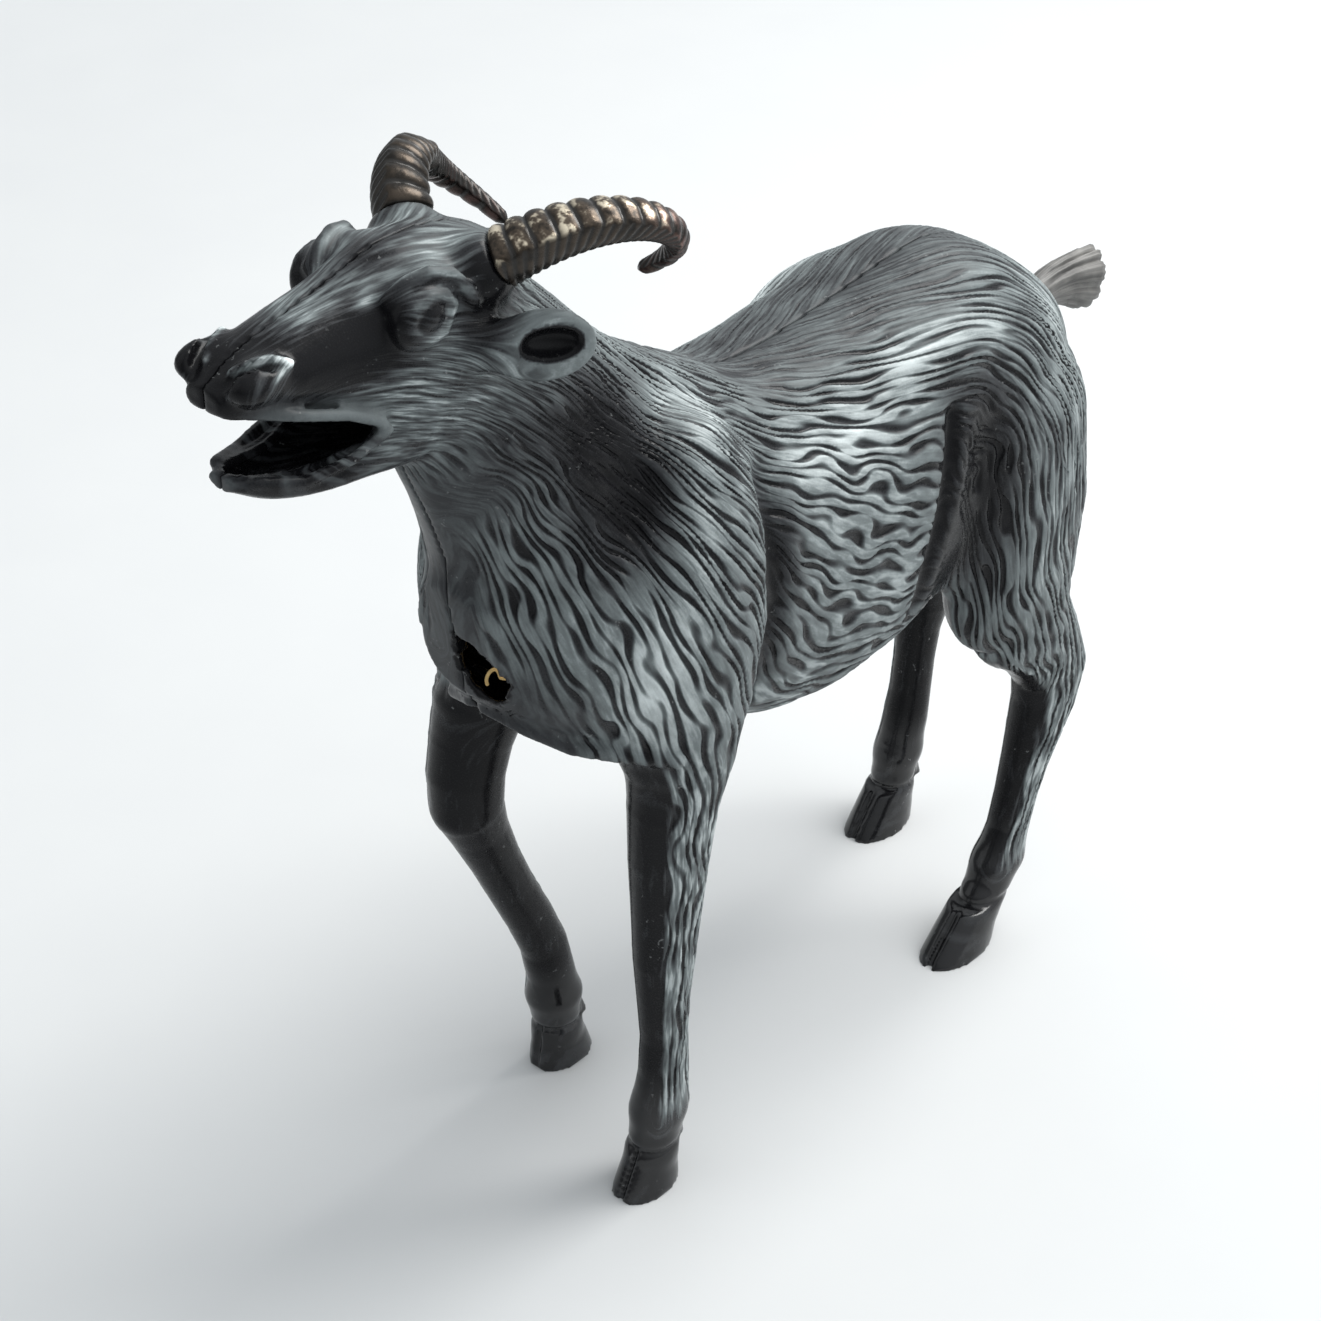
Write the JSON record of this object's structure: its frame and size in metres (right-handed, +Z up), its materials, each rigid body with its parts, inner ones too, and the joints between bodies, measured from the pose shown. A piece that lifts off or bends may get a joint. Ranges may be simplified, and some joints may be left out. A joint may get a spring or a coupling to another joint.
{
  "type": "toy goat figurine",
  "caption": "Hollow moulded plastic goat with ribbed curled horns, open mouth and a spring-loaded pull tail.",
  "frame": {"origin": "on the ground plane in the moulding seam plane, half way between the nose and the tail's end", "axes": "+Z up, -Y towards the nose, +Y towards the tail, +X towards the goat's left side"},
  "size_m": [0.0519, 0.2016, 0.186],
  "materials": {
    "left_shell": "satin black plastic with grey paint dry-brushed over moulded fur",
    "right_shell": "satin black plastic with grey paint dry-brushed over moulded fur",
    "horn": "bronze metallic paint, worn brighter on the ribs",
    "tail": "satin brownish grey",
    "spring_wire": "bright drawn wire",
    "rod_wire": "bright drawn wire"
  },
  "bodies": {
    "body": {"left_body_shell": "left_shell", "right_body_shell": "right_shell", "left_horn": "horn", "right_horn": "horn", "return_spring": "spring_wire"},
    "tail": {"tail": "tail", "pull_rod": "rod_wire"}
  },
  "joints": [
    {"name": "tail_pull", "type": "slide", "parent": "body", "child": "tail", "axis": [0, 0.9971, 0.0762], "range_m": [0, 0.006], "stiffness_N_per_m": 300, "deforming": ["return_spring"]}
  ]
}
